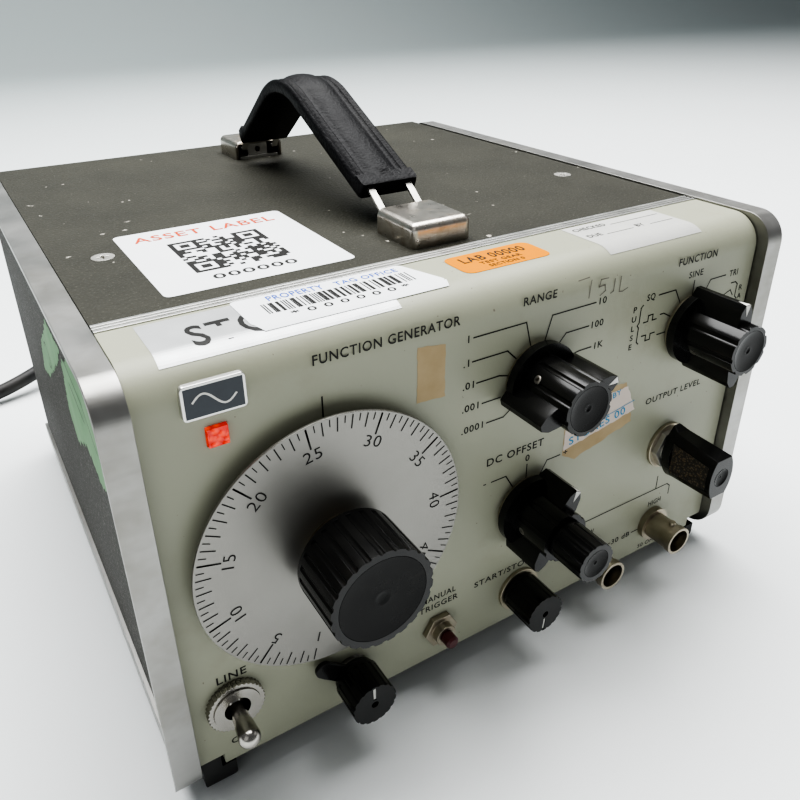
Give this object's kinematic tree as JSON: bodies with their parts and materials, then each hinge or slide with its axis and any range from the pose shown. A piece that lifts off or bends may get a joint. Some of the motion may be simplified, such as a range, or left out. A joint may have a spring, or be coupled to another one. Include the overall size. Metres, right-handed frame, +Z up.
{
  "type": "function generator",
  "caption": "Bench function generator: boxy case with side castings and a carrying strap, round frequency dial, pointer knobs, switches and coaxial jacks on its front, mains cord at the rear",
  "frame": {"origin": "on the table under the middle of the instrument's bounding box, the cord and what is on it left out", "axes": "+X to the right along the front, +Y from the front panel to the rear, +Z up"},
  "size_m": [0.3318, 0.3185, 0.1562],
  "materials": {
    "casting": "satin, polished at the front corners",
    "skin": "olive grey crackle paint",
    "panel": "light grey paint, semi-matt",
    "strip": "ribbed, anodised",
    "cover": "dark olive textured paint",
    "chassis": "plain sheet",
    "bright": "bright nickel plate",
    "steel": "zinc plated",
    "strap": "black leather-grain vinyl over spring steel",
    "black_rubber": "matt black",
    "dial": "anodised, engraved",
    "brass": "turned",
    "knob": "moulded, glossy black",
    "control": "plated can",
    "phenolic": "pressed board wafers",
    "red": "clear red",
    "maroon": "maroon",
    "badge": "black and blue filled plate",
    "board": "glass epoxy board",
    "iron": "varnished laminations",
    "black_plastic": "moulded black",
    "cord": "black cord sheath"
  },
  "bodies": {
    "case": {"left_casting": "casting", "right_casting": "casting", "left_skin": "skin", "right_skin": "skin", "chassis_deck": "chassis", "front_panel": "panel", "trim_strip": "strip", "top_cover": "cover", "top_screws": "steel", "bottom_cover": "skin", "rear_panel": "chassis", "rear_bumpers": "black_rubber", "front_feet": "black_plastic", "rear_feet": "black_plastic", "handle_caps": "bright", "handle_brackets": "steel", "frequency_pot": "control", "range_switch": "phenolic", "function_switch": "phenolic", "offset_switch": "phenolic", "level_pot": "control", "phase_pot": "control", "mode_switch": "control", "dress_washers": "brass", "line_switch": "control", "line_switch_nut": "bright", "trigger_switch": "bright", "signal_jacks": "bright", "pilot_lens": "red", "badge": "badge", "main_board": "board", "transformer": "iron", "mains_inlet": "black_plastic", "fuse_holder": "black_plastic", "voltage_selector": "black_plastic", "cord_connector": "cord", "cord_lead": "cord", "cord_coil": "cord", "cord_tail": "cord", "cord_plug": "cord", "cord_tie": "black_plastic"},
    "dial_group": {"dial": "dial", "dial_hub": "brass", "dial_shaft": "steel", "dial_knob": "knob"},
    "range": {"range_knob": "knob"},
    "function": {"function_knob": "knob"},
    "offset_outer": {"offset_switch_knob": "knob"},
    "offset_inner": {"offset_level_knob": "knob"},
    "level": {"level_knob": "knob"},
    "phase": {"phase_knob": "knob"},
    "mode_outer": {"mode_lever": "knob"},
    "mode_inner": {"mode_knob": "knob"},
    "line": {"line_lever": "bright"},
    "trigger": {"trigger_button": "maroon"},
    "handle": {"handle_strap": "strap", "handle_prongs": "steel"},
    "stand": {"tilt_stand": "steel"},
    "fuse": {"fuse_cap": "black_plastic"},
    "selector": {"selector_slider": "red"}
  },
  "joints": [
    {"name": "dial_turn", "type": "hinge", "parent": "case", "child": "dial_group", "pos_m": [-0.0528, -0.0856, 0.0678], "axis": [0, 1, 0], "range_deg": [-151, 165]},
    {"name": "range_turn", "type": "hinge", "parent": "case", "child": "range", "pos_m": [0.0076, -0.0856, 0.0927], "axis": [0, 1, 0], "range_deg": [-210, 0]},
    {"name": "function_turn", "type": "hinge", "parent": "case", "child": "function", "pos_m": [0.0659, -0.0856, 0.0927], "axis": [0, 1, 0], "range_deg": [-90, 90]},
    {"name": "offset_switch_turn", "type": "hinge", "parent": "case", "child": "offset_outer", "pos_m": [0.0076, -0.0856, 0.0512], "axis": [0, 1, 0], "range_deg": [-60, 0]},
    {"name": "offset_level_turn", "type": "hinge", "parent": "case", "child": "offset_inner", "pos_m": [0.0076, -0.0856, 0.0512], "axis": [0, 1, 0], "range_deg": [-150, 150]},
    {"name": "level_turn", "type": "hinge", "parent": "case", "child": "level", "pos_m": [0.0651, -0.0856, 0.0512], "axis": [0, 1, 0], "range_deg": [-150, 150]},
    {"name": "phase_turn", "type": "hinge", "parent": "case", "child": "phase", "pos_m": [0.0076, -0.0856, 0.02], "axis": [0, 1, 0], "range_deg": [-25, 275]},
    {"name": "mode_lever_turn", "type": "hinge", "parent": "case", "child": "mode_outer", "pos_m": [-0.0493, -0.0856, 0.02], "axis": [0, 1, 0], "range_deg": [0, 90]},
    {"name": "mode_knob_turn", "type": "hinge", "parent": "case", "child": "mode_inner", "pos_m": [-0.0493, -0.0856, 0.02], "axis": [0, 1, 0], "range_deg": [-150, 150]},
    {"name": "line_toggle", "type": "hinge", "parent": "case", "child": "line", "pos_m": [-0.0812, -0.0846, 0.029], "axis": [-1, 0, 0], "range_deg": [0, 26]},
    {"name": "trigger_push", "type": "slide", "parent": "case", "child": "trigger", "axis": [0, 1, 0], "range_m": [0, 0.002], "stiffness_N_per_m": 600},
    {"name": "handle_shift", "type": "slide", "parent": "case", "child": "handle", "axis": [0, 1, 0], "range_m": [-0.0015, 0.0015]},
    {"name": "stand_fold", "type": "hinge", "parent": "case", "child": "stand", "pos_m": [0, -0.0701, 0.0034], "axis": [-1, 0, 0], "range_deg": [0, 75]},
    {"name": "fuse_cap_turn", "type": "hinge", "parent": "case", "child": "fuse", "pos_m": [0.058, 0.103, 0.043], "axis": [0, 1, 0], "range_deg": [0, 90]},
    {"name": "selector_slide", "type": "slide", "parent": "case", "child": "selector", "axis": [1, 0, 0], "range_m": [0, 0.0052]}
  ]
}
